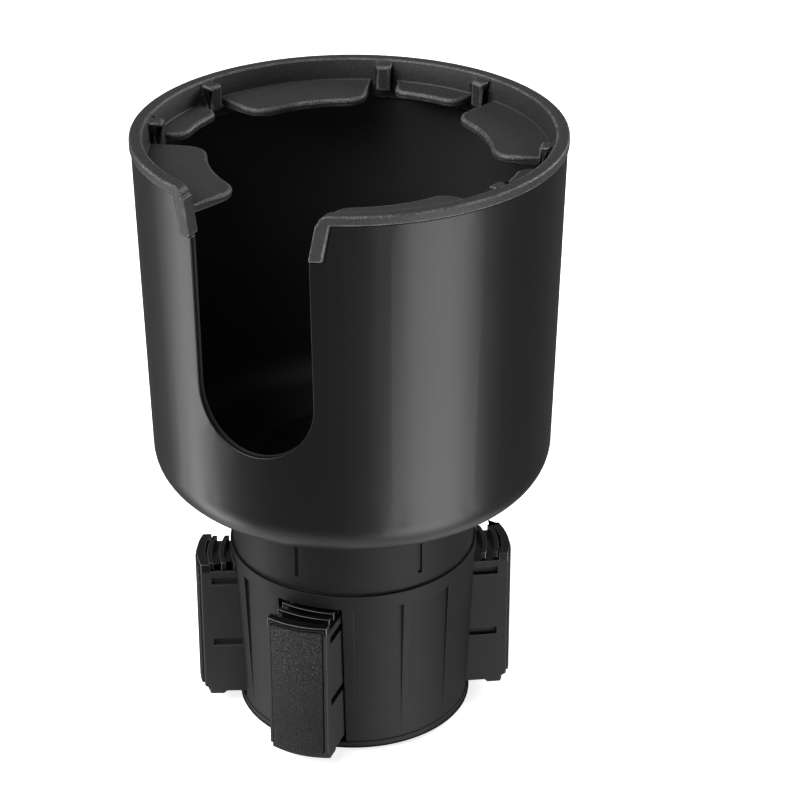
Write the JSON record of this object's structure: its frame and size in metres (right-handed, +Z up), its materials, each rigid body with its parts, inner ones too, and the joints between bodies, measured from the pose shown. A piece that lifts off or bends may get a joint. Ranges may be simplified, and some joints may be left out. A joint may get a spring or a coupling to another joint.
{
  "type": "car cup holder expander",
  "caption": "Wide slotted cup with a flapped rubber rim on a narrow base, whose padded legs a scroll drives in or out when the cup is turned.",
  "frame": {"origin": "middle of the rubber foot's underside, on the axis that the cup turns about", "axes": "+Z up through the cup's mouth; -Y towards the viewer of the picture, so the handle slot faces the viewer and a little left; +X to the right"},
  "size_m": [0.1092, 0.1092, 0.165],
  "materials": {
    "cup_satin": "black ABS, satin gloss",
    "rim_rubber": "dark grey rubber, fine matte grain",
    "pad_rubber": "black rubber, smooth",
    "base_plastic": "black ABS, finely spark-eroded matte",
    "leg_plastic": "black ABS, matte",
    "grip_rubber": "black rubber, leather-like grain",
    "foot_rubber": "black rubber, matte",
    "scroll_plastic": "dark grey acetal, natural moulded",
    "glide_plastic": "black acetal, natural moulded",
    "screw_steel": "zinc-plated steel",
    "spindle_steel": "turned steel"
  },
  "bodies": {
    "base": {"sleeve": "base_plastic", "bottom_plate": "base_plastic", "foot_screws": "screw_steel", "foot_pad": "foot_rubber", "glide_ring": "glide_plastic", "thrust_washer": "glide_plastic", "spindle": "spindle_steel", "spindle_nut": "spindle_steel", "spindle_washer": "spindle_steel"},
    "cup": {"cup_shell": "cup_satin", "rim_ring": "rim_rubber", "floor_pad": "pad_rubber", "cup_screws": "screw_steel", "neck": "base_plastic", "scroll_plate": "scroll_plastic", "scroll_screws": "screw_steel"},
    "front_leg": {"leg_front": "leg_plastic", "grip_front": "grip_rubber"},
    "right_leg": {"leg_right": "leg_plastic", "grip_right": "grip_rubber"},
    "back_leg": {"leg_back": "leg_plastic", "grip_back": "grip_rubber"},
    "left_leg": {"leg_left": "leg_plastic", "grip_left": "grip_rubber"}
  },
  "joints": [
    {"name": "cup_turn", "type": "hinge", "parent": "base", "child": "cup", "pos_m": [0, 0, 0.0496], "axis": [0, 0, 1], "range_deg": [-112.5, 540]},
    {"name": "front_leg_slide", "type": "slide", "parent": "base", "child": "front_leg", "axis": [-0.342, -0.9397, 0], "range_m": [-0.0097, 0.0021]},
    {"name": "right_leg_slide", "type": "slide", "parent": "base", "child": "right_leg", "axis": [0.9925, 0.1219, 0], "range_m": [-0.0097, 0.0021]},
    {"name": "back_leg_slide", "type": "slide", "parent": "base", "child": "back_leg", "axis": [-0.0698, 0.9976, 0], "range_m": [-0.0097, 0.0021]},
    {"name": "left_leg_slide", "type": "slide", "parent": "base", "child": "left_leg", "axis": [-0.9994, -0.0349, 0], "range_m": [-0.0097, 0.0021]}
  ],
  "couplings": [
    {"joint": "front_leg_slide", "follows": "cup_turn", "m_per_rad": -0.0010186},
    {"joint": "right_leg_slide", "follows": "cup_turn", "m_per_rad": -0.0010186},
    {"joint": "back_leg_slide", "follows": "cup_turn", "m_per_rad": -0.0010186},
    {"joint": "left_leg_slide", "follows": "cup_turn", "m_per_rad": -0.0010186}
  ]
}
